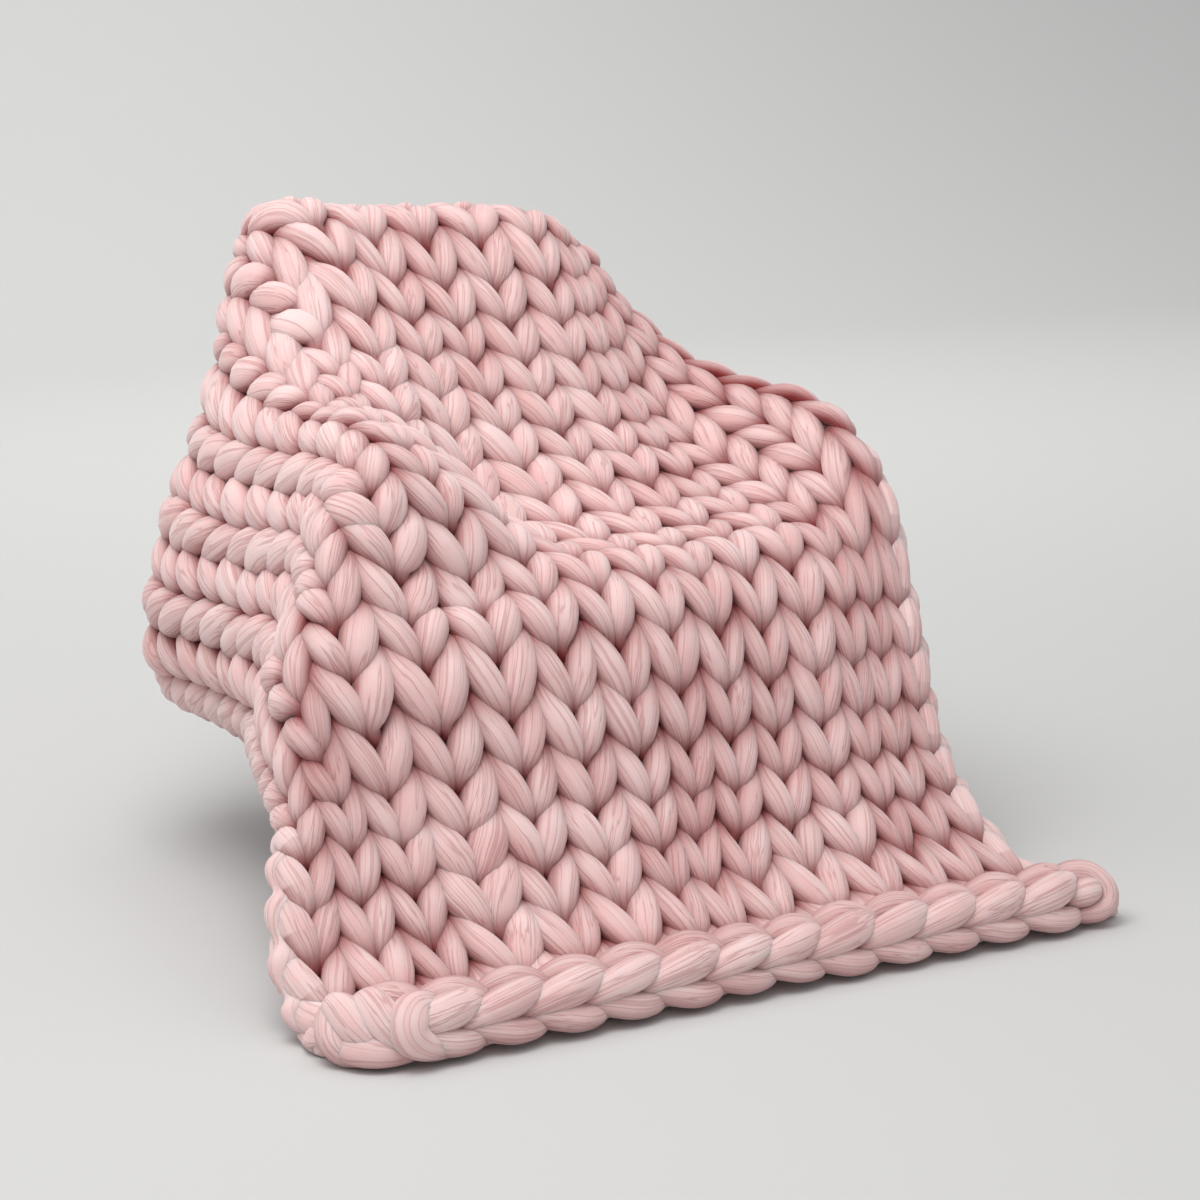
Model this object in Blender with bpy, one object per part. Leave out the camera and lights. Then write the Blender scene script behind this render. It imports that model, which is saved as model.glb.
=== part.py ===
"""A chunky knit blanket thrown over a plain scooped chair.

Units are metres and +Z is up. The chair faces -Y, and the frame's origin is on
the floor, under the middle of the chair's round foot.

The blanket is one thick sheet. It is laid out by its knitting: a place on it is
a wale (a column of stitches, counted from the left selvage) and a course (a row
of stitches, counted from the front hem). Rails are lines down the length of the
blanket, each at a fixed wale. They follow the folds: the side flap with its
tucked selvage, the crests over the chair's low sides, the seat and the back.
"""
import bpy
import bmesh
import numpy as np
from mathutils import Vector
from mathutils.bvhtree import BVHTree

# ---- driving sizes
wales = 14                      # columns of stitches across the blanket
courses = 27                    # rows of stitches from the front hem to the tail
cloth_thick = 0.040             # a knitted sheet of roving, two yarns thick
hem_thick = 0.050               # the braided chain along the front hem and the tail
rib_height = 0.006              # how far a wale stands above the groove beside it
rim_share = 0.55                # thickness left at the very edge, which is rounded
steps_per_wale = 2
steps_per_course = 2

touch_gap = 0.0003              # between pieces of the chair
drape_gap = 0.0007              # where the cloth lies on the chair
edge_gap = 0.0025               # where the cloth passes over the shell's edge
shell_thick = 0.012
shell_wales = (5.0, 12.0)       # from the left side's crest to the right side's
shell_courses = (10.0, 18.5)    # from the seat's front edge to the top of the back

foot_y = 0.45                   # the foot's middle, behind the zero line of the tables
foot_radius = 0.21
foot_thick = 0.010
column_radius = 0.030
round_sides = 32

# ---- the front panel, the same down every rail: from the hem on the floor up to
# ---- just under the seat's edge. y is measured from a line under the seat.
front_columns = ("course", "y", "z")
front_profile = (
    (0.0, -0.120, 0.025),
    (1.0, -0.060, 0.022),
    (2.0, 0.000, 0.050),
    (3.0, 0.058, 0.097),
    (4.0, 0.095, 0.147),
    (5.0, 0.126, 0.202),
    (6.0, 0.152, 0.264),
    (7.0, 0.178, 0.332),
    (8.0, 0.210, 0.398),
)
front_courses = (0.0, 2.0, 5.0, 8.0)    # where each rail gives its x on the front
hem_lead = 0.022                        # the hem's right end lies this much further out
hem_lead_courses = 4.0                  # and the lead is gone this far up
corner_back = 0.055                     # the hem's left corner curls back by this much
corner_wales = 1.6                      # over this many wales
corner_courses = 3.0                    # and this many courses

# ---- the rails, from the left selvage to the right one. "front" holds x at the
# ---- front_courses, and "upper" has a row for each fold that the rail crosses.
upper_columns = ("course", "x", "y", "z")
rails = (
    {"name": "left selvage", "wale": 0.0, "front": (-0.620, -0.637), "upper": (
        (5.0, -0.600, 0.132, 0.180),
        (6.0, -0.576, 0.176, 0.192),
        (8.0, -0.550, 0.250, 0.205),
        (10.5, -0.520, 0.360, 0.215),
        (13.0, -0.485, 0.460, 0.220),
        (16.0, -0.475, 0.600, 0.220),
        (19.0, -0.480, 0.740, 0.220),
        (21.0, -0.450, 0.830, 0.215),
        (23.0, -0.370, 0.900, 0.210),
        (27.0, -0.170, 0.930, 0.200))},
    {"name": "tuck fold", "wale": 0.8, "front": (-0.562, -0.578, -0.556), "upper": (
        (6.0, -0.556, 0.148, 0.235),
        (7.2, -0.556, 0.182, 0.280),
        (9.0, -0.545, 0.260, 0.305),
        (11.5, -0.510, 0.340, 0.320),
        (14.0, -0.500, 0.440, 0.320),
        (17.0, -0.510, 0.600, 0.315),
        (19.0, -0.520, 0.720, 0.310),
        (21.0, -0.480, 0.820, 0.305),
        (23.0, -0.390, 0.900, 0.300),
        (27.0, -0.200, 0.940, 0.280))},
    {"name": "low flap", "wale": 2.0, "front": (-0.469, -0.488, -0.490), "upper": (
        (7.0, -0.515, 0.175, 0.330),
        (8.0, -0.522, 0.205, 0.385),
        (9.0, -0.508, 0.250, 0.425),
        (11.0, -0.475, 0.310, 0.450),
        (13.0, -0.460, 0.370, 0.460),
        (16.0, -0.480, 0.500, 0.455),
        (19.0, -0.500, 0.670, 0.450),
        (21.0, -0.475, 0.790, 0.450),
        (23.0, -0.390, 0.885, 0.440),
        (27.0, -0.230, 0.940, 0.380))},
    {"name": "high flap", "wale": 3.0, "front": (-0.391, -0.415, -0.415, -0.431), "upper": (
        (9.0, -0.437, 0.240, 0.455),
        (10.0, -0.442, 0.268, 0.508),
        (11.5, -0.443, 0.305, 0.550),
        (13.5, -0.430, 0.360, 0.560),
        (16.0, -0.445, 0.480, 0.555),
        (19.0, -0.460, 0.650, 0.555),
        (21.0, -0.440, 0.780, 0.560),
        (23.0, -0.365, 0.880, 0.550),
        (27.0, -0.245, 0.940, 0.460))},
    {"name": "left shoulder", "wale": 4.0, "front": (-0.313, -0.320, -0.316, -0.331), "upper": (
        (9.0, -0.332, 0.248, 0.430),
        (10.0, -0.336, 0.272, 0.490),
        (12.0, -0.365, 0.310, 0.600),
        (13.5, -0.380, 0.370, 0.635),
        (16.0, -0.400, 0.480, 0.640),
        (19.0, -0.415, 0.640, 0.660),
        (21.0, -0.395, 0.770, 0.690),
        (23.0, -0.330, 0.875, 0.670),
        (27.0, -0.250, 0.940, 0.540))},
    {"name": "left crest", "wale": 5.0, "front": (-0.235, -0.236, -0.230, -0.234), "upper": (
        (9.0, -0.236, 0.252, 0.440),
        (11.0, -0.265, 0.310, 0.545),
        (12.5, -0.300, 0.360, 0.600),
        (14.0, -0.320, 0.430, 0.630),
        (15.5, -0.312, 0.510, 0.660),
        (17.0, -0.290, 0.605, 0.715),
        (18.5, -0.292, 0.700, 0.800),
        (20.0, -0.318, 0.775, 0.862),
        (21.0, -0.328, 0.830, 0.860),
        (23.0, -0.300, 0.900, 0.770),
        (27.0, -0.250, 0.940, 0.580))},
    {"name": "left of seat", "wale": 6.5, "front": (-0.118, -0.115, -0.100, -0.104), "upper": (
        (9.0, -0.108, 0.262, 0.445),
        (10.5, -0.122, 0.352, 0.462),
        (12.0, -0.145, 0.450, 0.490),
        (13.5, -0.160, 0.520, 0.545),
        (15.0, -0.163, 0.575, 0.615),
        (17.0, -0.162, 0.650, 0.715),
        (19.0, -0.175, 0.730, 0.815),
        (20.0, -0.185, 0.775, 0.870),
        (21.0, -0.190, 0.830, 0.878),
        (23.0, -0.200, 0.905, 0.790),
        (27.0, -0.210, 0.940, 0.580))},
    {"name": "seat middle", "wale": 8.0, "front": (-0.010, -0.034, 0.000, 0.014), "upper": (
        (9.0, 0.010, 0.258, 0.445),
        (10.5, 0.011, 0.355, 0.457),
        (12.0, 0.006, 0.460, 0.485),
        (13.0, 0.000, 0.520, 0.522),
        (14.0, -0.012, 0.567, 0.560),
        (15.0, -0.022, 0.607, 0.605),
        (17.0, -0.041, 0.667, 0.702),
        (19.0, -0.055, 0.730, 0.812),
        (20.0, -0.060, 0.775, 0.870),
        (21.0, -0.062, 0.830, 0.878),
        (23.0, -0.070, 0.905, 0.790),
        (27.0, -0.080, 0.940, 0.580))},
    {"name": "right of seat", "wale": 10.0, "front": (0.150, 0.130, 0.140, 0.153), "upper": (
        (9.0, 0.158, 0.258, 0.450),
        (10.5, 0.165, 0.355, 0.470),
        (12.0, 0.162, 0.460, 0.495),
        (13.0, 0.158, 0.520, 0.528),
        (14.0, 0.152, 0.567, 0.560),
        (15.0, 0.143, 0.607, 0.598),
        (17.0, 0.118, 0.667, 0.700),
        (19.0, 0.112, 0.730, 0.807),
        (20.0, 0.113, 0.772, 0.860),
        (21.0, 0.112, 0.830, 0.868),
        (23.0, 0.105, 0.905, 0.780),
        (27.0, 0.090, 0.930, 0.560))},
    {"name": "right inner side", "wale": 11.25, "front": (0.246, 0.232, 0.230, 0.245), "upper": (
        (9.0, 0.252, 0.258, 0.453),
        (10.5, 0.254, 0.355, 0.486),
        (12.0, 0.240, 0.455, 0.515),
        (13.5, 0.220, 0.545, 0.550),
        (15.0, 0.195, 0.610, 0.605),
        (17.0, 0.162, 0.675, 0.705),
        (19.0, 0.150, 0.740, 0.800),
        (20.0, 0.150, 0.780, 0.835),
        (21.0, 0.148, 0.830, 0.840),
        (23.0, 0.140, 0.895, 0.760),
        (27.0, 0.120, 0.920, 0.540))},
    {"name": "right crest", "wale": 12.5, "front": (0.345, 0.308, 0.292, 0.303), "upper": (
        (9.0, 0.310, 0.250, 0.470),
        (10.5, 0.317, 0.335, 0.545),
        (12.0, 0.314, 0.440, 0.583),
        (13.5, 0.292, 0.545, 0.610),
        (15.0, 0.254, 0.635, 0.652),
        (17.0, 0.205, 0.705, 0.735),
        (19.0, 0.183, 0.770, 0.810),
        (20.0, 0.180, 0.805, 0.815),
        (21.0, 0.175, 0.840, 0.800),
        (23.0, 0.165, 0.880, 0.720),
        (27.0, 0.140, 0.900, 0.500))},
    {"name": "right shoulder", "wale": 13.25, "front": (0.405, 0.358, 0.332, 0.338), "upper": (
        (9.0, 0.345, 0.245, 0.490),
        (10.5, 0.352, 0.325, 0.588),
        (12.0, 0.347, 0.440, 0.627),
        (13.5, 0.318, 0.555, 0.640),
        (15.0, 0.275, 0.650, 0.668),
        (17.0, 0.220, 0.735, 0.740),
        (19.0, 0.195, 0.800, 0.775),
        (21.0, 0.185, 0.845, 0.745),
        (23.0, 0.175, 0.870, 0.660),
        (27.0, 0.150, 0.890, 0.450))},
    {"name": "right selvage", "wale": 14.0, "front": (0.465, 0.402, 0.366, 0.370), "upper": (
        (9.0, 0.375, 0.250, 0.485),
        (10.5, 0.380, 0.335, 0.560),
        (12.0, 0.375, 0.450, 0.577),
        (13.5, 0.344, 0.565, 0.590),
        (15.0, 0.297, 0.660, 0.615),
        (17.0, 0.245, 0.750, 0.680),
        (19.0, 0.220, 0.810, 0.700),
        (21.0, 0.205, 0.845, 0.660),
        (23.0, 0.190, 0.865, 0.580),
        (27.0, 0.165, 0.880, 0.380))},
)


# ---- the draped surface

def smooth_through(stations, values, at):
    """A smooth curve through values given at stations, read at the places in at."""
    stations = np.asarray(stations, float)
    values = np.asarray(values, float)
    at = np.asarray(at, float)
    span = np.diff(stations)[:, None]
    slope = np.diff(values, axis=0) / span
    tangent = np.empty_like(values)
    tangent[0] = slope[0]
    tangent[-1] = slope[-1]
    tangent[1:-1] = (slope[:-1] * span[1:] + slope[1:] * span[:-1]) / (span[1:] + span[:-1])
    index = np.clip(np.searchsorted(stations, at, side="right") - 1, 0, len(span) - 1)
    width = span[index]
    t = ((at - stations[index]) / width[:, 0])[:, None]
    near = values[index] * (2 * t**3 - 3 * t**2 + 1) + values[index + 1] * (3 * t**2 - 2 * t**3)
    bend = tangent[index] * (t**3 - 2 * t**2 + t) + tangent[index + 1] * (t**3 - t**2)
    return near + bend * width


def rail_points(rail, at):
    """Points down one rail: the shared front profile, then the rail's own rows."""
    upper = np.array(rail["upper"])
    front = np.array([row for row in front_profile if row[0] < upper[0, 0] - 0.5])
    lead = hem_lead * rail["wale"] / wales
    front[:, 1] -= lead * np.clip(1 - front[:, 0] / hem_lead_courses, 0, 1)
    curl = corner_back * max(0.0, 1 - rail["wale"] / corner_wales) ** 2
    front[:, 1] += curl * np.clip(1 - front[:, 0] / corner_courses, 0, 1)
    known = len(rail["front"])
    side = np.array(rail["front"])[:, None]
    if known < len(front_courses):              # this rail leaves the front early
        stations = front_courses[:known] + (upper[0, 0],)
        side = np.vstack([side, [[upper[0, 1]]]])
    else:
        stations = front_courses
    x = smooth_through(stations, side, front[:, 0])
    rows = np.vstack([np.column_stack([front[:, 0], x[:, 0], front[:, 1:]]), upper])
    return smooth_through(rows[:, 0], rows[:, 1:], at)


def draped(wale_at, course_at):
    """The middle of the cloth at each pair of wale and course: wales x courses x 3."""
    lines = np.array([rail_points(rail, course_at) for rail in rails])
    rail_wales = [rail["wale"] for rail in rails]
    rows = [smooth_through(rail_wales, lines[:, j], wale_at) for j in range(len(course_at))]
    middle = np.array(rows).transpose(1, 0, 2)
    middle[:, :, 1] -= foot_y
    return middle


def outward(wale_at, course_at):
    """Unit normals of the draped surface, on the side that shows."""
    step = 0.12
    low_w, high_w = np.clip(wale_at - step, 0, wales), np.clip(wale_at + step, 0, wales)
    low_c, high_c = np.clip(course_at - step, 0, courses), np.clip(course_at + step, 0, courses)
    across = draped(high_w, course_at) - draped(low_w, course_at)
    along = draped(wale_at, high_c) - draped(wale_at, low_c)
    normal = np.cross(across, along)
    return normal / np.linalg.norm(normal, axis=2, keepdims=True)


# ---- making objects

def new_material(name, colour, roughness, metallic=0.0):
    material = bpy.data.materials.new(name)
    material.use_nodes = True
    shader = material.node_tree.nodes["Principled BSDF"]
    shader.inputs["Base Color"].default_value = (*colour, 1.0)
    shader.inputs["Roughness"].default_value = roughness
    shader.inputs["Metallic"].default_value = metallic
    return material


def new_object(name, bm, material, smooth_angle=0.9):
    bmesh.ops.recalc_face_normals(bm, faces=bm.faces)
    mesh = bpy.data.meshes.new(name)
    bm.to_mesh(mesh)
    bm.free()
    mesh.materials.append(material)
    mesh.shade_smooth()
    mesh.set_sharp_from_angle(angle=smooth_angle)
    obj = bpy.data.objects.new(name, mesh)
    bpy.context.scene.collection.objects.link(obj)
    return obj


def thick_sheet(outer, inner):
    """A closed sheet between two grids of points, its rim bridged all round."""
    columns, rows = outer.shape[:2]
    bm = bmesh.new()
    loops = []
    for points in (outer, inner):
        side = bmesh.ops.create_grid(bm, x_segments=columns - 1, y_segments=rows - 1, size=0.5)
        verts = side["verts"]                   # in rows, each running across the sheet
        for order, vert in enumerate(verts):
            vert.co = Vector(points[order % columns, order // columns])
        own = set(verts)
        loops.append([e for e in bm.edges if e.is_boundary and e.verts[0] in own])
    bmesh.ops.bridge_loops(bm, edges=loops[0] + loops[1])
    bmesh.ops.triangulate(bm, faces=bm.faces, quad_method="FIXED")
    return bm


# ---- the pieces

def make_blanket(material):
    wale_at = np.linspace(0, wales, wales * steps_per_wale + 1)
    course_at = np.linspace(0, courses, courses * steps_per_course + 1)
    middle = draped(wale_at, course_at)
    normal = outward(wale_at, course_at)
    # the chain at both ends is a thicker roll than the cloth between
    to_end = np.minimum(course_at, courses - course_at)
    half = np.where(to_end < 1.0, hem_thick, cloth_thick)[None, :] / 2
    half = np.repeat(half, len(wale_at), axis=0)
    # each wale is a low rib, and the edge is rounded off
    rib = rib_height * np.abs(np.sin(np.pi * wale_at))[:, None]
    half[0] *= rim_share
    half[-1] *= rim_share
    half[:, 0] *= rim_share
    half[:, -1] *= rim_share
    outer = middle + normal * (half + rib - rib_height / 2)[:, :, None]
    inner = middle - normal * half[:, :, None]
    outer[:, :, 2] = np.maximum(outer[:, :, 2], 0.0)
    inner[:, :, 2] = np.maximum(inner[:, :, 2], 0.0)
    return new_object("blanket", thick_sheet(outer, inner), material)


def make_shell(material):
    """The seat, its low sides and its back, shaped by the cloth that lies on it."""
    wale_at = np.arange(shell_wales[0], shell_wales[1] + 0.01, 1 / steps_per_wale)
    course_at = np.arange(shell_courses[0], shell_courses[1] + 0.01, 1 / steps_per_course)
    middle = draped(wale_at, course_at)
    normal = outward(wale_at, course_at)
    gap = np.full(middle.shape[:2], drape_gap)
    gap[[0, -1]] = edge_gap
    gap[:, [0, -1]] = edge_gap
    depth = (cloth_thick / 2 + gap)[:, :, None]
    sheet = thick_sheet(middle - normal * depth, middle - normal * (depth + shell_thick))
    return new_object("chair_shell", sheet, material)


def make_foot(material):
    bm = bmesh.new()
    bmesh.ops.create_cone(bm, cap_ends=True, segments=round_sides,
                          radius1=foot_radius, radius2=foot_radius * 0.97, depth=foot_thick)
    bmesh.ops.translate(bm, vec=(0, 0, foot_thick / 2), verts=bm.verts)
    return new_object("chair_foot", bm, material)


def make_column(material, shell):
    """From the foot up to the shell, its top cut to the slope of the seat there."""
    mesh = shell.data
    seat = BVHTree.FromPolygons([v.co for v in mesh.vertices], [p.vertices for p in mesh.polygons])
    middle, slope, _, _ = seat.ray_cast(Vector((0, 0, foot_thick)), Vector((0, 0, 1)))

    def plane_z(x, y):
        return middle.z - (slope.x * x + slope.y * y) / slope.z

    # the cut is lowered until the seat clears it all over
    lower = 0.0
    for reach in (0.35, 0.7, 1.0):
        for turn in np.linspace(0, 2 * np.pi, round_sides, endpoint=False):
            x, y = column_radius * reach * np.cos(turn), column_radius * reach * np.sin(turn)
            hit = seat.ray_cast(Vector((x, y, foot_thick)), Vector((0, 0, 1)))[0]
            lower = max(lower, plane_z(x, y) - hit.z)
    bm = bmesh.new()
    bmesh.ops.create_cone(bm, cap_ends=True, segments=round_sides,
                          radius1=column_radius, radius2=column_radius, depth=1.0)
    for vert in bm.verts:
        top_z = plane_z(vert.co.x, vert.co.y) - lower - touch_gap
        vert.co.z = top_z if vert.co.z > 0 else foot_thick + touch_gap
    return new_object("chair_column", bm, material)


def main():
    for obj in list(bpy.data.objects):
        bpy.data.objects.remove(obj, do_unlink=True)
    pink_wool = new_material("pink_wool", (0.72, 0.42, 0.41), 0.95)
    pale_shell = new_material("pale_shell", (0.75, 0.74, 0.71), 0.55)
    grey_paint = new_material("grey_paint", (0.35, 0.35, 0.36), 0.45, 0.4)
    make_blanket(pink_wool)
    shell = make_shell(pale_shell)
    make_column(grey_paint, shell)
    make_foot(grey_paint)


main()
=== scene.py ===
import math
import random

import bmesh
import bpy
import numpy as np
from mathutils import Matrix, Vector


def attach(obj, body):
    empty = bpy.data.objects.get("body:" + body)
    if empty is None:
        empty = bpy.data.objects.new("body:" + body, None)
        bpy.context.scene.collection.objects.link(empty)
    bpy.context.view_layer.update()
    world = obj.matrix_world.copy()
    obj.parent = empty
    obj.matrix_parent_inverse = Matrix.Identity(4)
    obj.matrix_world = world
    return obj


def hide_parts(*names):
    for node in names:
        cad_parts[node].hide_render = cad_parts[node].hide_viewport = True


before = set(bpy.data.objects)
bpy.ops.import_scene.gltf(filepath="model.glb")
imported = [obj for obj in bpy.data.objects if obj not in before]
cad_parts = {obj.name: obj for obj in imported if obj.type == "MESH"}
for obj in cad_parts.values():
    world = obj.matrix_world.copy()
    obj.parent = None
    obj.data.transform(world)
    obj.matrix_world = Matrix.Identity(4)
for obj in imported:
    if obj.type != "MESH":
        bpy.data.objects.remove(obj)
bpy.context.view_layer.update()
print("frame loaded:", ", ".join(sorted(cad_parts)))
scene = bpy.context.scene


# camera, at the photograph's angle

photoView = {
    "place": (-1.6575, -2.909, 1.08), "turn": 30.0, "down": 12.0,   # metres, then degrees
    "lens": 73.5, "sensor": 36.0, "farthest": 60.0,
}


def makeCamera():
    data = bpy.data.cameras.new("photoCamera")
    data.lens = photoView["lens"]
    data.sensor_width = photoView["sensor"]
    data.clip_end = photoView["farthest"]
    camera = bpy.data.objects.new("photoCamera", data)
    camera.location = photoView["place"]
    camera.rotation_euler = (math.radians(90 - photoView["down"]), 0, math.radians(-photoView["turn"]))
    scene.collection.objects.link(camera)
    scene.camera = camera


makeCamera()
scene.view_settings.view_transform = "Standard"
print("camera placed")


# the drape: where each stitch lies. A wale is a column of stitches, counted from the left,
# and a course is a row, counted from the front hem. The sizes are those of the solid.

drape = {
    "wales": 14, "courses": 27, "footY": 0.45, "hemLead": 0.022, "hemLeadCourses": 4.0, "joinGap": 0.5,
    "cornerBack": 0.055, "cornerWales": 1.6, "cornerCourses": 3.0,
    "frontCourses": (0.0, 2.0, 5.0, 8.0),
    "front": (  # course, y, z
        (0.0, -0.120, 0.025), (1.0, -0.060, 0.022), (2.0, 0.000, 0.050),
        (3.0, 0.058, 0.097), (4.0, 0.095, 0.147), (5.0, 0.126, 0.202),
        (6.0, 0.152, 0.264), (7.0, 0.178, 0.332), (8.0, 0.210, 0.398)),
}

rails = (  # x at the front courses, then course, x, y, z for each fold
    {"wale": 0.0, "front": (-0.620, -0.637), "upper": (
        (5.0, -0.600, 0.132, 0.180), (6.0, -0.576, 0.176, 0.192), (8.0, -0.550, 0.250, 0.205),
        (10.5, -0.520, 0.360, 0.215), (13.0, -0.485, 0.460, 0.220), (16.0, -0.475, 0.600, 0.220),
        (19.0, -0.480, 0.740, 0.220), (21.0, -0.450, 0.830, 0.215), (23.0, -0.370, 0.900, 0.210),
        (27.0, -0.170, 0.930, 0.200))},
    {"wale": 0.8, "front": (-0.562, -0.578, -0.556), "upper": (
        (6.0, -0.556, 0.148, 0.235), (7.2, -0.556, 0.182, 0.280), (9.0, -0.545, 0.260, 0.305),
        (11.5, -0.510, 0.340, 0.320), (14.0, -0.500, 0.440, 0.320), (17.0, -0.510, 0.600, 0.315),
        (19.0, -0.520, 0.720, 0.310), (21.0, -0.480, 0.820, 0.305), (23.0, -0.390, 0.900, 0.300),
        (27.0, -0.200, 0.940, 0.280))},
    {"wale": 2.0, "front": (-0.469, -0.488, -0.490), "upper": (
        (7.0, -0.515, 0.175, 0.330), (8.0, -0.522, 0.205, 0.385), (9.0, -0.508, 0.250, 0.425),
        (11.0, -0.475, 0.310, 0.450), (13.0, -0.460, 0.370, 0.460), (16.0, -0.480, 0.500, 0.455),
        (19.0, -0.500, 0.670, 0.450), (21.0, -0.475, 0.790, 0.450), (23.0, -0.390, 0.885, 0.440),
        (27.0, -0.230, 0.940, 0.380))},
    {"wale": 3.0, "front": (-0.391, -0.415, -0.415, -0.431), "upper": (
        (9.0, -0.437, 0.240, 0.455), (10.0, -0.442, 0.268, 0.508), (11.5, -0.443, 0.305, 0.550),
        (13.5, -0.430, 0.360, 0.560), (16.0, -0.445, 0.480, 0.555), (19.0, -0.460, 0.650, 0.555),
        (21.0, -0.440, 0.780, 0.560), (23.0, -0.365, 0.880, 0.550), (27.0, -0.245, 0.940, 0.460))},
    {"wale": 4.0, "front": (-0.313, -0.320, -0.316, -0.331), "upper": (
        (9.0, -0.332, 0.248, 0.430), (10.0, -0.336, 0.272, 0.490), (12.0, -0.365, 0.310, 0.600),
        (13.5, -0.380, 0.370, 0.635), (16.0, -0.400, 0.480, 0.640), (19.0, -0.415, 0.640, 0.660),
        (21.0, -0.395, 0.770, 0.690), (23.0, -0.330, 0.875, 0.670), (27.0, -0.250, 0.940, 0.540))},
    {"wale": 5.0, "front": (-0.235, -0.236, -0.230, -0.234), "upper": (
        (9.0, -0.236, 0.252, 0.440), (11.0, -0.265, 0.310, 0.545), (12.5, -0.300, 0.360, 0.600),
        (14.0, -0.320, 0.430, 0.630), (15.5, -0.312, 0.510, 0.660), (17.0, -0.290, 0.605, 0.715),
        (18.5, -0.292, 0.700, 0.800), (20.0, -0.318, 0.775, 0.862), (21.0, -0.328, 0.830, 0.860),
        (23.0, -0.300, 0.900, 0.770), (27.0, -0.250, 0.940, 0.580))},
    {"wale": 6.5, "front": (-0.118, -0.115, -0.100, -0.104), "upper": (
        (9.0, -0.108, 0.262, 0.445), (10.5, -0.122, 0.352, 0.462), (12.0, -0.145, 0.450, 0.490),
        (13.5, -0.160, 0.520, 0.545), (15.0, -0.163, 0.575, 0.615), (17.0, -0.162, 0.650, 0.715),
        (19.0, -0.175, 0.730, 0.815), (20.0, -0.185, 0.775, 0.870), (21.0, -0.190, 0.830, 0.878),
        (23.0, -0.200, 0.905, 0.790), (27.0, -0.210, 0.940, 0.580))},
    {"wale": 8.0, "front": (-0.010, -0.034, 0.000, 0.014), "upper": (
        (9.0, 0.010, 0.258, 0.445), (10.5, 0.011, 0.355, 0.457), (12.0, 0.006, 0.460, 0.485),
        (13.0, 0.000, 0.520, 0.522), (14.0, -0.012, 0.567, 0.560), (15.0, -0.022, 0.607, 0.605),
        (17.0, -0.041, 0.667, 0.702), (19.0, -0.055, 0.730, 0.812), (20.0, -0.060, 0.775, 0.870),
        (21.0, -0.062, 0.830, 0.878), (23.0, -0.070, 0.905, 0.790), (27.0, -0.080, 0.940, 0.580))},
    {"wale": 10.0, "front": (0.150, 0.130, 0.140, 0.153), "upper": (
        (9.0, 0.158, 0.258, 0.450), (10.5, 0.165, 0.355, 0.470), (12.0, 0.162, 0.460, 0.495),
        (13.0, 0.158, 0.520, 0.528), (14.0, 0.152, 0.567, 0.560), (15.0, 0.143, 0.607, 0.598),
        (17.0, 0.118, 0.667, 0.700), (19.0, 0.112, 0.730, 0.807), (20.0, 0.113, 0.772, 0.860),
        (21.0, 0.112, 0.830, 0.868), (23.0, 0.105, 0.905, 0.780), (27.0, 0.090, 0.930, 0.560))},
    {"wale": 11.25, "front": (0.246, 0.232, 0.230, 0.245), "upper": (
        (9.0, 0.252, 0.258, 0.453), (10.5, 0.254, 0.355, 0.486), (12.0, 0.240, 0.455, 0.515),
        (13.5, 0.220, 0.545, 0.550), (15.0, 0.195, 0.610, 0.605), (17.0, 0.162, 0.675, 0.705),
        (19.0, 0.150, 0.740, 0.800), (20.0, 0.150, 0.780, 0.835), (21.0, 0.148, 0.830, 0.840),
        (23.0, 0.140, 0.895, 0.760), (27.0, 0.120, 0.920, 0.540))},
    {"wale": 12.5, "front": (0.345, 0.308, 0.292, 0.303), "upper": (
        (9.0, 0.310, 0.250, 0.470), (10.5, 0.317, 0.335, 0.545), (12.0, 0.314, 0.440, 0.583),
        (13.5, 0.292, 0.545, 0.610), (15.0, 0.254, 0.635, 0.652), (17.0, 0.205, 0.705, 0.735),
        (19.0, 0.183, 0.770, 0.810), (20.0, 0.180, 0.805, 0.815), (21.0, 0.175, 0.840, 0.800),
        (23.0, 0.165, 0.880, 0.720), (27.0, 0.140, 0.900, 0.500))},
    {"wale": 13.25, "front": (0.405, 0.358, 0.332, 0.338), "upper": (
        (9.0, 0.345, 0.245, 0.490), (10.5, 0.352, 0.325, 0.588), (12.0, 0.347, 0.440, 0.627),
        (13.5, 0.318, 0.555, 0.640), (15.0, 0.275, 0.650, 0.668), (17.0, 0.220, 0.735, 0.740),
        (19.0, 0.195, 0.800, 0.775), (21.0, 0.185, 0.845, 0.745), (23.0, 0.175, 0.870, 0.660),
        (27.0, 0.150, 0.890, 0.450))},
    {"wale": 14.0, "front": (0.465, 0.402, 0.366, 0.370), "upper": (
        (9.0, 0.375, 0.250, 0.485), (10.5, 0.380, 0.335, 0.560), (12.0, 0.375, 0.450, 0.577),
        (13.5, 0.344, 0.565, 0.590), (15.0, 0.297, 0.660, 0.615), (17.0, 0.245, 0.750, 0.680),
        (19.0, 0.220, 0.810, 0.700), (21.0, 0.205, 0.845, 0.660), (23.0, 0.190, 0.865, 0.580),
        (27.0, 0.165, 0.880, 0.380))},
)


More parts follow.
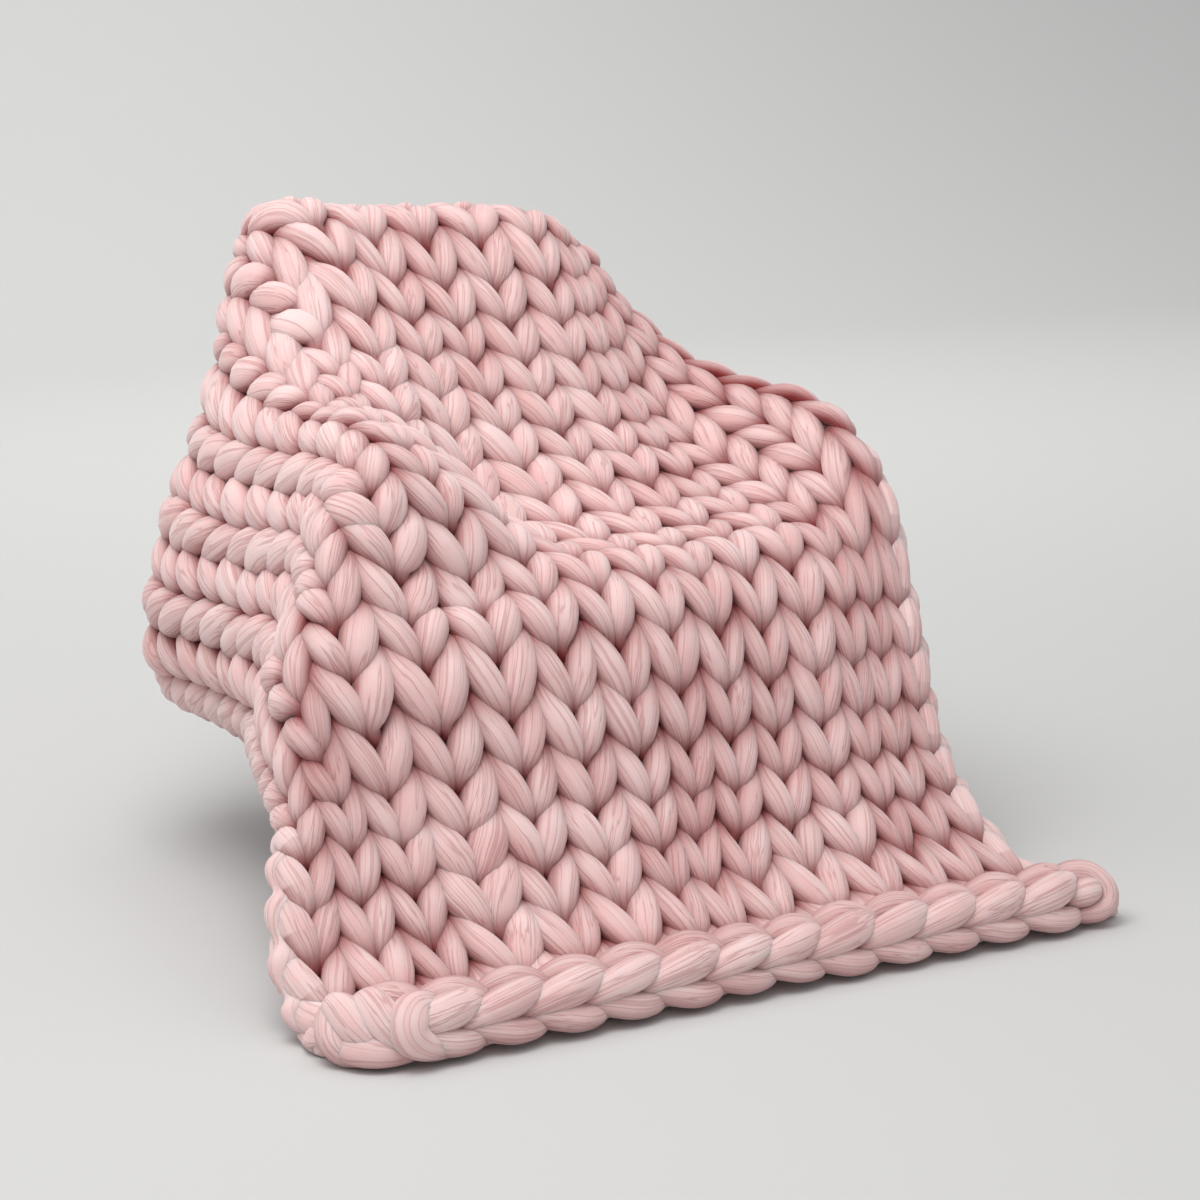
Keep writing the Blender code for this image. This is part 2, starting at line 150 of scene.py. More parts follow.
def smoothThrough(stations, values, at):
    stations, values, at = (np.asarray(x, float) for x in (stations, values, at))
    span = np.diff(stations)[:, None]
    slope = np.diff(values, axis=0) / span
    tangent = np.empty_like(values)
    tangent[0], tangent[-1] = slope[0], slope[-1]
    tangent[1:-1] = (slope[:-1] * span[1:] + slope[1:] * span[:-1]) / (span[1:] + span[:-1])
    index = np.clip(np.searchsorted(stations, at, side="right") - 1, 0, len(span) - 1)
    width = span[index]
    t = ((at - stations[index]) / width[:, 0])[:, None]
    near = values[index] * (2 * t**3 - 3 * t**2 + 1) + values[index + 1] * (3 * t**2 - 2 * t**3)
    bend = tangent[index] * (t**3 - 2 * t**2 + t) + tangent[index + 1] * (t**3 - t**2)
    return near + bend * width


def railPoints(rail, at):
    upper = np.array(rail["upper"])
    front = np.array([row for row in drape["front"] if row[0] < upper[0, 0] - drape["joinGap"]])
    lead = drape["hemLead"] * rail["wale"] / drape["wales"]
    front[:, 1] -= lead * np.clip(1 - front[:, 0] / drape["hemLeadCourses"], 0, 1)
    curl = drape["cornerBack"] * max(0.0, 1 - rail["wale"] / drape["cornerWales"]) ** 2
    front[:, 1] += curl * np.clip(1 - front[:, 0] / drape["cornerCourses"], 0, 1)
    known = len(rail["front"])
    side = np.array(rail["front"])[:, None]
    stations = drape["frontCourses"]
    if known < len(stations):
        stations = stations[:known] + (upper[0, 0],)
        side = np.vstack([side, [[upper[0, 1]]]])
    x = smoothThrough(stations, side, front[:, 0])
    rows = np.vstack([np.column_stack([front[:, 0], x[:, 0], front[:, 1:]]), upper])
    return smoothThrough(rows[:, 0], rows[:, 1:], at)


class Cloth:
    # a grid over the whole blanket, which is read between its points
    step = 0.1
    rounds = 2

    def __init__(self):
        self.waleAt = np.arange(0, drape["wales"] + self.step / 2, self.step)
        self.courseAt = np.arange(0, drape["courses"] + self.step / 2, self.step)
        lines = np.array([railPoints(rail, self.courseAt) for rail in rails])
        railWales = [rail["wale"] for rail in rails]
        rows = [smoothThrough(railWales, lines[:, j], self.waleAt) for j in range(len(self.courseAt))]
        self.middle = np.array(rows).transpose(1, 0, 2)
        self.middle[:, :, 1] -= drape["footY"]
        across = np.gradient(self.middle, self.step, axis=0)
        along = np.gradient(self.middle, self.step, axis=1)
        normal = np.cross(across, along)
        normal /= np.linalg.norm(normal, axis=2, keepdims=True)
        for _ in range(self.rounds):  # evened out, so that yarns don't fan apart at a sharp fold
            wide = np.pad(normal, ((1, 1), (1, 1), (0, 0)), mode="edge")
            down, over = normal.shape[:2]
            normal = sum(wide[i:i + down, j:j + over] for i in range(3) for j in range(3))
            normal /= np.linalg.norm(normal, axis=2, keepdims=True)
        self.normal = normal
        self.pitch = np.linalg.norm(across, axis=2)[:, :, None]

    def read(self, grid, wale, course):
        i = np.clip((np.asarray(wale) / self.step).astype(int), 0, grid.shape[0] - 2)
        j = np.clip((np.asarray(course) / self.step).astype(int), 0, grid.shape[1] - 2)
        a = (np.asarray(wale) / self.step - i)[:, None]
        b = (np.asarray(course) / self.step - j)[:, None]
        return (grid[i, j] * (1 - a) * (1 - b) + grid[i + 1, j] * a * (1 - b)
                + grid[i, j + 1] * (1 - a) * b + grid[i + 1, j + 1] * a * b)

    def place(self, wale, course, out):
        normal = self.read(self.normal, wale, course)
        normal /= np.linalg.norm(normal, axis=1, keepdims=True)
        return self.read(self.middle, wale, course) + normal * np.asarray(out)[:, None], normal


cloth = Cloth()
print("drape laid out")


# shader nodes as expressions

class Wire:
    tree = None

    def __init__(self, socket):
        self.socket = socket

    @classmethod
    def node(cls, kind, settings=None, output=0, **values):
        node = cls.tree.nodes.new("ShaderNode" + kind)
        for key, value in (settings or {}).items():
            setattr(node, key, value)
        for key, value in values.items():  # i0 is the first input, From_Min the one of that name
            numbered = key[0] == "i" and key[1:].isdigit()
            cls.feed(node.inputs[int(key[1:]) if numbered else key.replace("_", " ")], value)
        return Wire(node.outputs[output])

    @classmethod
    def feed(cls, target, value):
        if isinstance(value, Wire):
            cls.tree.links.new(value.socket, target)
        else:
            target.default_value = value

    @staticmethod
    def maths(operation, first, second=0.0):
        return Wire.node("Math", {"operation": operation}, i0=first, i1=second)

    def __add__(self, other): return self.maths("ADD", self, other)
    def __radd__(self, other): return self.maths("ADD", other, self)
    def __sub__(self, other): return self.maths("SUBTRACT", self, other)
    def __rsub__(self, other): return self.maths("SUBTRACT", other, self)
    def __mul__(self, other): return self.maths("MULTIPLY", self, other)
    def __rmul__(self, other): return self.maths("MULTIPLY", other, self)
    def __abs__(self): return self.maths("ABSOLUTE", self)
    def cos(self): return self.maths("COSINE", self)
    def sin(self): return self.maths("SINE", self)

    def ramp(self, low, high):
        return Wire.node("MapRange", {"interpolation_type": "SMOOTHSTEP"},
                         Value=self, From_Min=low, From_Max=high)


def noise(vector, scale, detail=2.0, roughness=0.5):
    return Wire.node("TexNoise", Vector=vector, Scale=scale, Detail=detail, Roughness=roughness)


def joined(x, y, z):
    return Wire.node("CombineXYZ", X=x, Y=y, Z=z)


def mixed(factor, first, second):
    return Wire.node("Mix", {"data_type": "RGBA"}, output=2, i0=factor, i6=first, i7=second)


def newMaterial(name, constants):
    material = bpy.data.materials.new(name)
    material.use_nodes = True
    Wire.tree = material.node_tree
    shader = material.node_tree.nodes["Principled BSDF"]
    for key, value in constants.items():
        shader.inputs[key].default_value = value
    return material, shader


# wool roving: fine fibres run along the yarn, with a few long creases. Shade is painted into its colour: dark
# red in the creases and redder deep between the loops. "lift" is how far a point stands out from the cloth.

wool = {
    "pale": (0.91, 0.705, 0.69, 1), "deep": (0.78, 0.44, 0.43, 1),
    "crease": (0.40, 0.11, 0.11, 1), "hollowShade": (0.26, 0.022, 0.022, 1),
    "front": (0.000, 0.026), "reverse": (0.004, 0.020),     # the lift over which the painted hollow shade fades out, on each face
    "fibreScale": 18.0, "fibreRun": 1.2, "fibreDrift": 0.3,
    "creaseScale": 2.4, "creaseRun": 2.8, "creaseDrift": 0.8, "creaseWidth": 0.045, "creaseShade": 0.38,
    "driftScale": 6.0, "patchScale": 14.0,
    "tone": (0.4, 0.3, 0.45), "toneRange": (0.24, 0.82),    # shares of fibres, strands and patches
    "relief": (0.5, 0.9, 0.5),                              # shares of fibres, strands and creases
    "bump": 0.4, "bumpDepth": 0.004,
}


def makeWool():
    material, shader = newMaterial("wool", {
        "Roughness": 0.92, "Specular IOR Level": 0.2, "Sheen Weight": 0.5, "Sheen Roughness": 0.5,
        "Subsurface Weight": 0.3, "Subsurface Radius": (1.0, 0.35, 0.3), "Subsurface Scale": 0.008,
        "Sheen Tint": (1.0, 0.93, 0.92, 1)})
    uv = Wire.node("UVMap", {"uv_map": "UVMap"})
    along = Wire.node("SeparateXYZ", output=0, Vector=uv)
    around = Wire.node("SeparateXYZ", output=1, Vector=uv) * (2 * math.pi)
    place = Wire.node("TexCoord", output=3)
    ringX, ringY = around.cos(), around.sin()
    drift = noise(place, wool["driftScale"])
    fibreLine = joined(ringX, ringY, along * wool["fibreRun"] + drift * wool["fibreDrift"])
    fibres = noise(fibreLine, wool["fibreScale"], 4.0, 0.65)
    creaseLine = joined(ringX, ringY, along * wool["creaseRun"] + drift * wool["creaseDrift"])
    strands = noise(creaseLine, wool["creaseScale"])
    crease = 1 - abs(strands - 0.5).ramp(0.0, wool["creaseWidth"])
    patches = noise(place, wool["patchScale"])
    fine, coarse, broad = wool["tone"]
    tone = (fibres * fine + strands * coarse + patches * broad).ramp(*wool["toneRange"])
    lift = Wire.node("Attribute", {"attribute_name": "lift"}, output=2)
    lift = Wire.maths("MAXIMUM", lift.ramp(*wool["front"]), (0 - lift).ramp(*wool["reverse"]))
    colour = mixed(tone, wool["deep"], wool["pale"])
    # painted shade: the creases along the yarn are darkened to a deep red
    colour = mixed(crease * wool["creaseShade"], colour, wool["crease"])
    # painted shade: deep between the loops the colour goes to a dark red
    colour = mixed(lift, wool["hollowShade"], colour)
    fine, coarse, cut = wool["relief"]
    height = fibres * fine + strands * coarse - crease * cut
    bump = Wire.node("Bump", Strength=wool["bump"], Distance=wool["bumpDepth"], Height=height)
    Wire.feed(shader.inputs["Base Color"], colour)
    Wire.feed(shader.inputs["Normal"], bump)
    return material


woolMaterial = makeWool()


# the yarn

yarn = {
    "sides": 16, "samples": 3, "woolPitch": 0.077, "seed": 11, "flat": 0.86, "lobes": 0.03,
    "thickness": (0.75, 1.35), "give": 0.8,     # least and most, and how far it follows the stitch size
    "tuck": (0.3, 0.14),                        # thickness of a tucked-in end, and its gain at each sample
    "tilt": (0, 6.28), "twist": (-0.02, 0.05),  # radians at a yarn's start, and gained at each sample
    "floorGap": 0.0004, "patternStep": 3.7,     # metres
    "spread": (0.035, 0.07, 0.0018, 0.09),   # how far a loop strays across, up and out, and in thickness
    # half a loop, from the middle of its head to the middle of the strand between loops:
    # across the wale and up the courses in stitches, out from the cloth's middle and radius in metres
    "halfLoop": (
        (0.000, 0.98, -0.0120, 0.0105),
        (0.230, 0.95, -0.0110, 0.0115),
        (0.395, 0.76, -0.0070, 0.0130),
        (0.385, 0.42, -0.0010, 0.0182),
        (0.270, 0.02, 0.0055, 0.0207),
        (0.150, -0.36, 0.0060, 0.0180),
        (0.085, -0.66, -0.0015, 0.0118),
        (0.260, -0.93, -0.0100, 0.0115),
        (0.500, -0.98, -0.0120, 0.0105)),
    # the turn at a selvage, from one course up to the next, and the strand drawn along each selvage
    "turn": ((0.00, -0.62, -0.0120, 0.0115), (0.02, -0.30, -0.0100, 0.0120), (0.00, 0.02, -0.0120, 0.0115)),
    "selvage": {"inset": 0.02, "wave": 0.05, "phase": 0.3, "out": -0.004, "radius": 0.0145, "swell": 0.0045,
                "step": 0.125, "margin": 0.1, "twist": 0.4},
    # the least lift near an edge, which keeps painted hollow shade off it, with the wales and courses that it
    # reaches, and less of it on the flap, so that the flap's low edge keeps painted shade
    "edge": {"lift": 0.030, "wales": 0.3, "courses": 1.0, "none": -1.0,
             "flapLift": 0.005, "flapCourses": (8, 10)},
    "legCentre": 0.22, "turnRise": 0.05,    # how far above its course's line a leg's middle and a turn are
    "hemSquash": 0.30, "hemCourses": 0.5,   # the first and last half courses are pulled together
    "addedWale": 4, "addedFrom": 15,    # past the left crest one wale is worked into two
}


def roundProfile(name, sides, lobes):
    data = bpy.data.curves.new(name, "CURVE")
    data.dimensions = "2D"
    spline = data.splines.new("POLY")
    spline.points.add(sides - 1)
    spline.use_cyclic_u = True
    for i, point in enumerate(spline.points):
        turn = 2 * math.pi * i / sides
        reach = 1 + lobes * math.cos(3 * turn + 0.4) + lobes * 0.6 * math.cos(5 * turn + 2.0)
        point.co = (reach * math.cos(turn), reach * math.sin(turn), 0, 1)
    obj = bpy.data.objects.new(name, data)
    scene.collection.objects.link(obj)
    return obj


def yarnMesh(name, paths, sides, twoFaced=False):
    # a path holds points, radii, tilts, the cloth's normals and how far each point lies above its middle
    profile = roundProfile(name + "Profile", sides, yarn["lobes"])
    data = bpy.data.curves.new(name, "CURVE")
    data.dimensions = "3D"
    data.bevel_mode = "OBJECT"
    data.bevel_object = profile
    for points, radii, tilts, _, _ in paths:
        spline = data.splines.new("POLY")
        spline.points.add(len(points) - 1)
        spline.points.foreach_set("co", np.column_stack([points, np.ones(len(points))]).ravel())
        spline.points.foreach_set("radius", radii)
        spline.points.foreach_set("tilt", tilts)
    curve = bpy.data.objects.new(name + "Curve", data)
    scene.collection.objects.link(curve)
    mesh = bpy.data.meshes.new_from_object(curve.evaluated_get(bpy.context.evaluated_depsgraph_get()))
    mesh.name = name
    bpy.data.objects.remove(curve, do_unlink=True)
    bpy.data.objects.remove(profile, do_unlink=True)
    # the yarn is pressed flat against the cloth, and kept off the floor
    centre = np.vstack([path[0] for path in paths])[:, None, :]
    normal = np.vstack([path[3] for path in paths])[:, None, :]
    above = np.concatenate([path[4] for path in paths])[:, None]
    rings = np.empty(len(mesh.vertices) * 3)
    mesh.vertices.foreach_get("co", rings)
    rings = rings.reshape(len(centre), sides, 3)
    reach = ((rings - centre) * normal).sum(axis=2)
    rings -= normal * reach[:, :, None] * (1 - yarn["flat"])
    rings[:, :, 2] = np.maximum(rings[:, :, 2], yarn["floorGap"])
    mesh.vertices.foreach_set("co", rings.ravel())
    # the lift sets how much painted shade the wool gets: low points are shaded, raised ones stay pale
    lift = above + (abs(reach) if twoFaced else reach) * yarn["flat"]
    mesh.attributes.new("lift", "FLOAT", "POINT").data.foreach_set("value", lift.ravel())
    # U counts metres along the yarn, and each yarn starts at a place of its own
    lengths = [np.linalg.norm(np.diff(path[0], axis=0), axis=1).sum() for path in paths]
    corners = [(len(path[0]) - 1) * sides * 4 for path in paths]
    uv = mesh.uv_layers["UVMap"].data
    flatUv = np.empty(len(uv) * 2)
    uv.foreach_get("uv", flatUv)
    starts = np.arange(len(paths)) * yarn["patternStep"]
    flatUv[0::2] = flatUv[0::2] * np.repeat(lengths, corners) + np.repeat(starts, corners)
    uv.foreach_set("uv", flatUv)
    bm = bmesh.new()
    bm.from_mesh(mesh)
    bmesh.ops.holes_fill(bm, edges=[e for e in bm.edges if e.is_boundary], sides=0)
    bmesh.ops.recalc_face_normals(bm, faces=bm.faces)
    bm.to_mesh(mesh)
    bm.free()
    mesh.shade_smooth()
    mesh.materials.clear()
    mesh.materials.append(woolMaterial)
    obj = bpy.data.objects.new(name, mesh)
    scene.collection.objects.link(obj)
    return obj


chance = random.Random(yarn["seed"])


def loopPlaces(course):
    # the left side and width of each loop of a course
    places = []
    for wale in range(drape["wales"]):
        if wale == yarn["addedWale"] and course >= yarn["addedFrom"]:
            places += [(wale, 0.5), (wale + 0.5, 0.5)]
        else:
            places.append((wale, 1.0))
    return places


def courseRow(course):
    half = np.array(yarn["halfLoop"])
    loop = np.vstack([half[::-1] * (-1, 1, 1, 1), half[1:]])
    loop = np.column_stack([loop, np.ones(len(loop))])
    middle = len(half) - 1
    rows = []
    for left, width in loopPlaces(course):
        own = loop.copy()
        across, up, out, swell = (chance.uniform(-most, most) for most in yarn["spread"])
        own[:, 0] = left + width * (0.5 + own[:, 0] + across)
        own[:, 1] += course + yarn["legCentre"] + up
        own[:, 2] += out
        own[:middle, 3] *= 1 + swell
        own[middle:, 3] *= 1 + chance.uniform(-1, 1) * yarn["spread"][3]
        own[:, 4] = width
        if rows:
            own[0] = (own[0] + rows.pop()) / 2
        rows.extend(own)
    return np.array(rows)


def edgeLift(wale, level):
    # at the hem and the selvages no yarn is deep in the cloth, so they get no painted hollow shade, but the
    # flap's low edge, which faces down into shade, keeps painted shade
    edge = yarn["edge"]
    left, right = wale < edge["wales"], wale > drape["wales"] - edge["wales"]
    lift = np.where((level < edge["courses"]) | left | right, edge["lift"], edge["none"])
    return np.where(left, np.interp(level, edge["flapCourses"], (edge["lift"], edge["flapLift"])), lift)


def bandPath(first, last):
    # one yarn, knitted back and forth from the first course to the last
    rows = []
    for course in range(first, last):
        row = courseRow(course)
        rightward = (course - first) % 2 == 0
        rows.append(row if rightward else row[::-1])
        turn = np.column_stack([yarn["turn"], np.ones(len(yarn["turn"]))])
        turn[:, 0] = drape["wales"] + turn[:, 0] if rightward else -turn[:, 0]
        turn[:, 1] += course + yarn["turnRise"]
        rows.append(turn)
    rows = np.vstack(rows)
    at = np.arange(0, len(rows) - 1 + 1e-6, 1 / yarn["samples"])
    wale, level, out, radius, width = smoothThrough(np.arange(len(rows)), rows, at).T
    low, high = yarn["hemCourses"], drape["courses"] - yarn["hemCourses"]
    level = np.where(level < low, low + (level - low) * yarn["hemSquash"], level)
    level = np.where(level > high, high + (level - high) * yarn["hemSquash"], level)
    inside = np.clip(wale, 0, drape["wales"]), np.clip(level, 0, drape["courses"])
    pitch = cloth.read(cloth.pitch, *inside)[:, 0] * width
    size = np.clip(pitch / yarn["woolPitch"], *yarn["thickness"]) ** yarn["give"]
    points, normals = cloth.place(wale, level, out)
    ends = np.minimum(np.arange(len(at)), np.arange(len(at))[::-1])
    thin, gain = yarn["tuck"]
    size *= np.clip(thin + gain * ends, 0, 1)
    tilts = chance.uniform(*yarn["tilt"]) + np.cumsum([chance.uniform(*yarn["twist"]) for _ in at])
    return points, radius * size, tilts, normals, np.maximum(out, edgeLift(wale, level))


def selvagePath(first, last, right):
    edge = yarn["selvage"]
    level = np.arange(first, last + 0.01, edge["step"])
    phase = 2 * math.pi * (level + edge["phase"])
    inward = edge["inset"] + edge["wave"] * np.sin(phase)
    wale = drape["wales"] - inward if right else inward
    out = np.full(len(level), edge["out"])
    radius = edge["radius"] + edge["swell"] * np.cos(phase)
    tilts = np.linspace(0, edge["twist"] * (last - first), len(level))
    kept = np.clip(level, edge["margin"], drape["courses"] - edge["margin"])
    points, normals = cloth.place(wale, kept, out)
    return points, radius, tilts, normals, edgeLift(wale, level)


bands = (("blanket_front", 0, 8), ("blanket_seat", 8, 15), ("blanket_back", 15, 21), ("blanket_tail", 21, 27))


def makeBands():
    made = []
    for name, first, last in bands:
        paths = [bandPath(first, last), selvagePath(first, last, False), selvagePath(first, last, True)]
        made.append(yarnMesh(name, paths, yarn["sides"]))
        print(name, "knitted,", sum(len(p.vertices) - 2 for p in made[-1].data.polygons), "triangles")
    return made


pieces = makeBands()


# the braided chain at the hem and at the tail. It starts behind a fat wrap at the left.

chain = {
    # along in links, then across, out and radius in metres
    "link": (  # the upper leg and its head, then back through the inside along the lower leg
        (-0.42, -0.004, -0.012, 0.0100), (-0.20, -0.003, -0.001, 0.0142), (0.12, 0.003, 0.008, 0.0190),
        (0.50, 0.010, 0.011, 0.0212), (0.82, 0.017, 0.006, 0.0188), (1.02, 0.020, -0.004, 0.0138),
        (1.12, 0.016, -0.015, 0.0095), (1.14, 0.002, -0.021, 0.0085), (1.06, -0.012, -0.014, 0.0105),
        (0.88, -0.022, -0.004, 0.0135), (0.52, -0.023, 0.002, 0.0162), (0.14, -0.016, 0.002, 0.0155),
        (-0.20, -0.008, -0.004, 0.0125), (-0.42, -0.006, -0.013, 0.0100)),
    "behind": (  # the strand that arches behind each head
        (0.00, 0.018, -0.024, 0.0100), (0.30, 0.031, -0.020, 0.0145), (0.68, 0.037, -0.018, 0.0175),
        (1.02, 0.033, -0.016, 0.0150), (1.27, 0.020, -0.014, 0.0105)),
    "leftEnd": (  # the wrap at the chain's start, and the leaves that curl round the corner beside it
        ((1.50, 0.018, -0.010, 0.0100), (1.26, 0.023, 0.002, 0.0150), (1.02, 0.017, 0.012, 0.0205),
         (0.92, 0.000, 0.016, 0.0235), (0.98, -0.015, 0.013, 0.0220), (1.18, -0.024, 0.006, 0.0165),
         (1.45, -0.027, -0.004, 0.0110)),
        ((-0.10, 0.022, -0.006, 0.0110), (0.02, 0.016, 0.004, 0.0180), (0.22, 0.002, 0.007, 0.0205),
         (0.44, -0.012, 0.003, 0.0175), (0.60, -0.022, -0.006, 0.0110)),
        ((0.26, 0.026, -0.004, 0.0120), (0.42, 0.020, 0.007, 0.0185), (0.62, 0.004, 0.010, 0.0212),
         (0.82, -0.012, 0.007, 0.0180), (0.96, -0.022, 0.000, 0.0120)),
        ((0.02, -0.018, -0.006, 0.0120), (0.28, -0.023, 0.001, 0.0165), (0.60, -0.025, 0.003, 0.0170),
         (0.92, -0.024, -0.004, 0.0125), (1.10, -0.018, -0.012, 0.0090)),
        ((0.02, 0.028, -0.012, 0.0120), (-0.06, 0.008, -0.003, 0.0175), (0.00, -0.012, -0.001, 0.0185),
         (0.14, -0.024, -0.003, 0.0155), (0.34, -0.028, -0.008, 0.0110))),
    "rightEnd": (  # a bud, and the wrap round it
        ((12.90, 0.000, -0.012, 0.0100), (13.04, 0.001, 0.001, 0.0150), (13.22, 0.003, 0.007, 0.0178),
         (13.40, 0.005, 0.003, 0.0155), (13.50, 0.004, -0.008, 0.0105)),
        ((12.85, 0.026, -0.018, 0.0120), (13.15, 0.032, -0.012, 0.0165), (13.48, 0.026, -0.005, 0.0185),
         (13.66, 0.006, 0.000, 0.0188), (13.62, -0.013, 0.000, 0.0170), (13.38, -0.022, -0.002, 0.0150),
         (13.05, -0.022, -0.008, 0.0100))),
    "hemFace": (0.0, -0.85, 0.53), "height": 0.042, "forward": 0.004,   # at the hem, in metres
    "beyond": 0.1, "tailStart": 0.12,   # at the tail, in courses and links
    # the first and last link at the hem, and how a strand is drawn
    "first": 1, "last": 12, "sides": 18, "step": 0.25, "reach": 0.1, "twist": 0.6, "thickness": (0.8, 1.3),
    "stray": 0.04, "swell": (0.95, 1.06),   # how far a link strays along the chain and in thickness
    "lift": (0.5, 0.008),   # the share of a strand's own height, and what is added to it, in the lift that sets its painted hollow shade
}


def chainPath(rows, centreAt, faceAt):
    at = np.arange(0, len(rows) - 1 + 1e-6, chain["step"])
    fine = smoothThrough(np.arange(len(rows)), rows, at)
    least, most = chain["thickness"]
    reach = chain["reach"]
    points, faces = [], []
    for row in fine:
        along = row[0]
        centre, direction = centreAt(along), centreAt(along + reach) - centreAt(along - reach)
        row[1:] *= min(most, max(least, direction.length / (2 * reach) / yarn["woolPitch"])) ** yarn["give"]
        across, out = row[1:3]
        direction.normalize()
        face = faceAt(along)
        face = (face - direction * face.dot(direction)).normalized()
        side = face.cross(direction).normalized()
        points.append(centre + side * across + face * out)
        faces.append(face)
    tilts = chance.uniform(*yarn["tilt"]) + np.linspace(0, chain["twist"], len(at))
    share, added = chain["lift"]
    lift = np.maximum(fine[:, 2], 0) * share + added
    return np.array(points), fine[:, 3], tilts, np.array(faces), lift


def moved(table, index):
    rows = np.array(table)
    rows[:, 3] *= chance.uniform(*chain["swell"])
    rows[:, 0] += index + chance.uniform(-chain["stray"], chain["stray"])
    return rows


def makeHem():
    def centreAt(wale):
        spot = cloth.read(cloth.middle, [wale], [0.0])[0]
        return Vector((spot[0], spot[1] - chain["forward"], chain["height"]))

    def faceAt(wale):
        return Vector(chain["hemFace"])

    tables = [np.array(rows) for rows in chain["leftEnd"] + chain["rightEnd"]]
    tables += [moved(chain["link"], k) for k in range(chain["first"], chain["last"] + 1)]
    tables += [moved(chain["behind"], k) for k in range(chain["last"] + 1)]
    paths = [chainPath(rows, centreAt, faceAt) for rows in tables]
    return yarnMesh("blanket_hem", paths, chain["sides"], twoFaced=True)


def makeTail():
    last = float(drape["courses"])

    def centreAt(wale):
        return Vector(cloth.read(cloth.middle, [wale], [last + chain["beyond"]])[0])

    def faceAt(wale):
        return Vector(cloth.read(cloth.normal, [wale], [last])[0])

    tables = [moved(chain["link"], k) for k in range(chain["last"] + 1)]
    tables += [np.array(rows) for rows in chain["rightEnd"]]
    for rows in tables:
        rows[:, 0] = np.maximum(rows[:, 0], chain["tailStart"])
    paths = [chainPath(rows, centreAt, faceAt) for rows in tables]
    return yarnMesh("blanket_tail_edge", paths, chain["sides"], twoFaced=True)


pieces += [makeHem(), makeTail()]
for piece in pieces:
    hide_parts("blanket")
    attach(piece, "root")
print("hem and tail braided")


# the chair under it

chair = {
    # a finish's two tones and the size of its patches, then its grain's scale, detail and roughness
    "shell": {"tones": ((0.58, 0.57, 0.54, 1), (0.66, 0.65, 0.62, 1)), "patches": 9.0,
              "grain": (420.0, 3.0, 0.6), "bump": 0.25, "bumpDepth": 0.0006},
    "paint": {"tones": ((0.23, 0.23, 0.24, 1), (0.30, 0.30, 0.31, 1)), "patches": 22.0,
              "grain": (260.0, 2.0, 0.5), "bump": 0.3, "bumpDepth": 0.0004},
    "shellRoughness": 0.42, "shellWear": 0.2, "wearScale": 18.0,
}


def grainedFinish(name, look, constants):
    material, shader = newMaterial(name, constants)
    place = Wire.node("TexCoord", output=3)
    grain = noise(place, *look["grain"])
    bump = Wire.node("Bump", Strength=look["bump"], Distance=look["bumpDepth"], Height=grain)
    Wire.feed(shader.inputs["Base Color"], mixed(noise(place, look["patches"]), *look["tones"]))
    Wire.feed(shader.inputs["Normal"], bump)
    return material, shader, place


def makeChairFinishes():
    plastic, shader, place = grainedFinish("mouldedShell", chair["shell"], {})
    wear = noise(place, chair["wearScale"]) * chair["shellWear"]
    Wire.feed(shader.inputs["Roughness"], chair["shellRoughness"] + wear)
    coat, _, _ = grainedFinish("powderCoat", chair["paint"], {"Metallic": 0.3, "Roughness": 0.45})
    for node, finish in (("chair_shell", plastic), ("chair_column", coat), ("chair_foot", coat)):
        bpy.data.objects[node].data.materials.clear()
        bpy.data.objects[node].data.materials.append(finish)


makeChairFinishes()
print("chair finished")


# floor and light

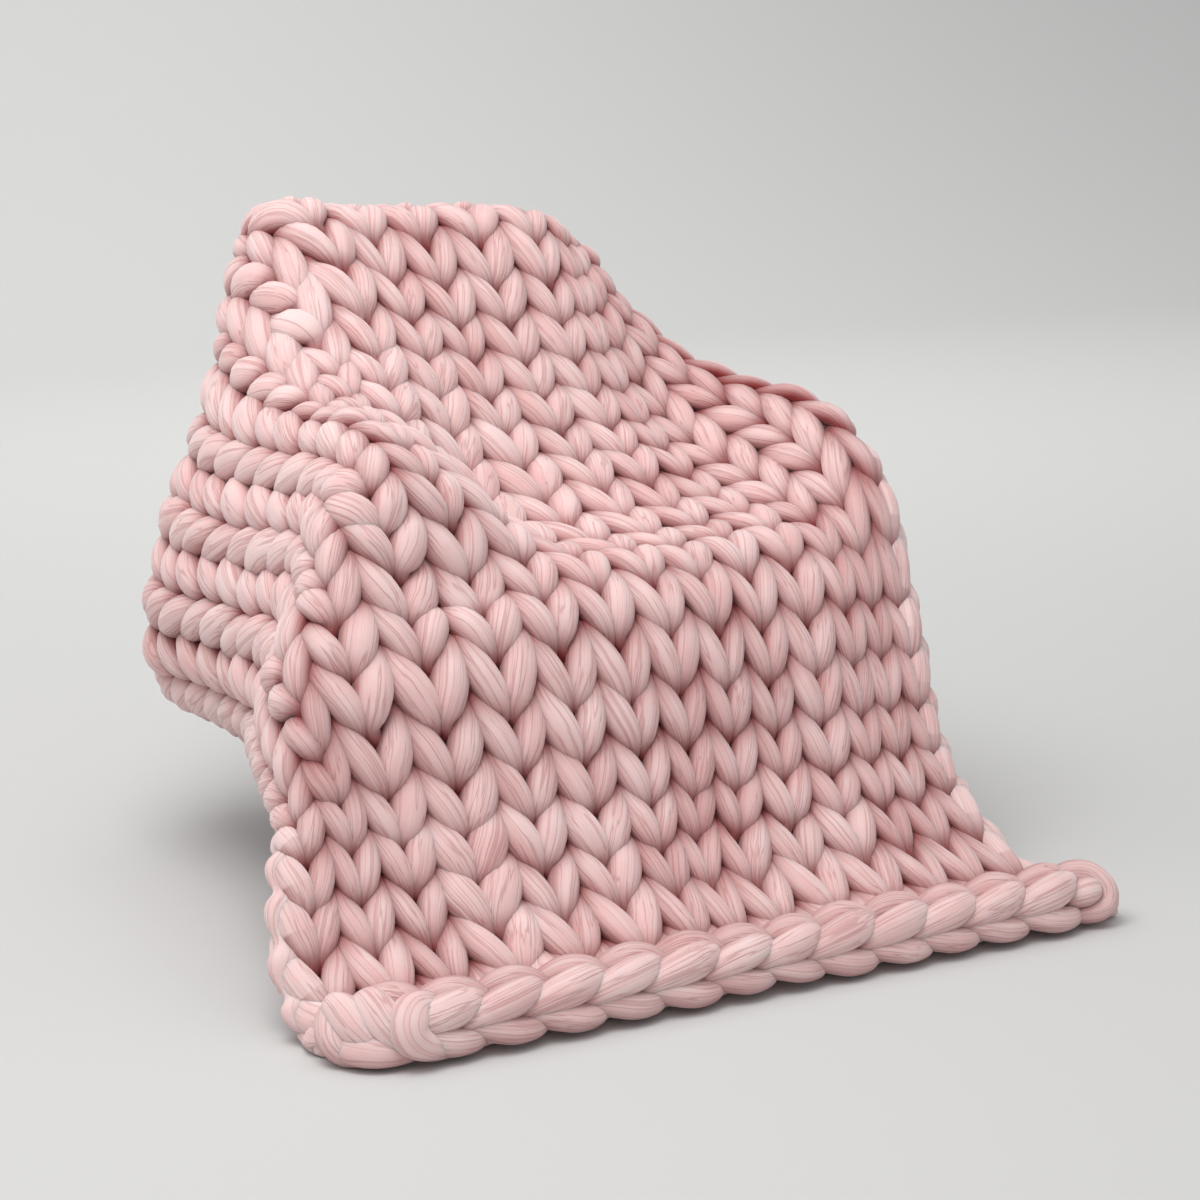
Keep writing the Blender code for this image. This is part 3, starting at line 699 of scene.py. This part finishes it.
studio = {
    "floorHalf": 40.0, "wallAt": 6.0, "sweep": 3.0, "sweepSteps": 24, "wallHigh": 9.0,
    "paper": (0.63, 0.63, 0.625, 1), "lamp": (1.0, 0.99, 0.98),
    "sky": (0.94, 0.95, 0.96, 1), "skyStrength": 0.50,
    "lights": (
        {"name": "key", "kind": "SUN", "place": (-1.5, 0.6, 5.4), "aim": (0, 0, 0),
         "size": math.radians(90), "power": 1.2},
        {"name": "top", "kind": "AREA", "place": (-1.1, -0.6, 2.7), "aim": (-0.1, 0.2, 0.6),
         "size": 1.6, "power": 32},
        {"name": "wall", "kind": "AREA", "place": (1.0, 2.5, 6.5), "aim": (2.0, 9.0, 3.6),
         "size": 5.0, "power": 300}),
}


def makeFloor():
    bm = bmesh.new()
    half, sweep = studio["floorHalf"], studio["sweep"]
    start = bm.verts.new((-half, -half, 0))
    corner = bm.verts.new((-half, studio["wallAt"], 0))
    bm.edges.new((start, corner))
    arc = bmesh.ops.spin(bm, geom=[corner], cent=(-half, studio["wallAt"], sweep), axis=(1, 0, 0),
                         angle=math.pi / 2, steps=studio["sweepSteps"])
    top = [g for g in arc["geom_last"] if isinstance(g, bmesh.types.BMVert)][0]
    bm.edges.new((top, bm.verts.new(top.co + Vector((0, 0, studio["wallHigh"])))))
    out = bmesh.ops.extrude_edge_only(bm, edges=bm.edges[:])
    far = [g for g in out["geom"] if isinstance(g, bmesh.types.BMVert)]
    bmesh.ops.translate(bm, vec=(2 * half, 0, 0), verts=far)
    mesh = bpy.data.meshes.new("floor")
    bm.to_mesh(mesh)
    bm.free()
    mesh.shade_smooth()
    material, _ = newMaterial("paper", {
        "Base Color": studio["paper"], "Roughness": 0.9, "Specular IOR Level": 0.1})
    mesh.materials.append(material)
    floor = bpy.data.objects.new("floor", mesh)
    scene.collection.objects.link(floor)


def makeLights():
    for light in studio["lights"]:
        data = bpy.data.lights.new(light["name"], light["kind"])
        if light["kind"] == "SUN":
            data.angle = light["size"]
        else:
            data.shape = "DISK"
            data.size = light["size"]
        data.energy = light["power"]
        data.color = studio["lamp"]
        obj = bpy.data.objects.new(light["name"], data)
        obj.location = light["place"]
        beam = Vector(light["aim"]) - Vector(light["place"])
        obj.rotation_euler = beam.to_track_quat("-Z", "Y").to_euler()
        scene.collection.objects.link(obj)
    world = bpy.data.worlds.new("studio")
    world.use_nodes = True
    background = world.node_tree.nodes["Background"]
    background.inputs["Color"].default_value = studio["sky"]
    background.inputs["Strength"].default_value = studio["skyStrength"]
    scene.world = world


makeFloor()
makeLights()
print("studio lit")
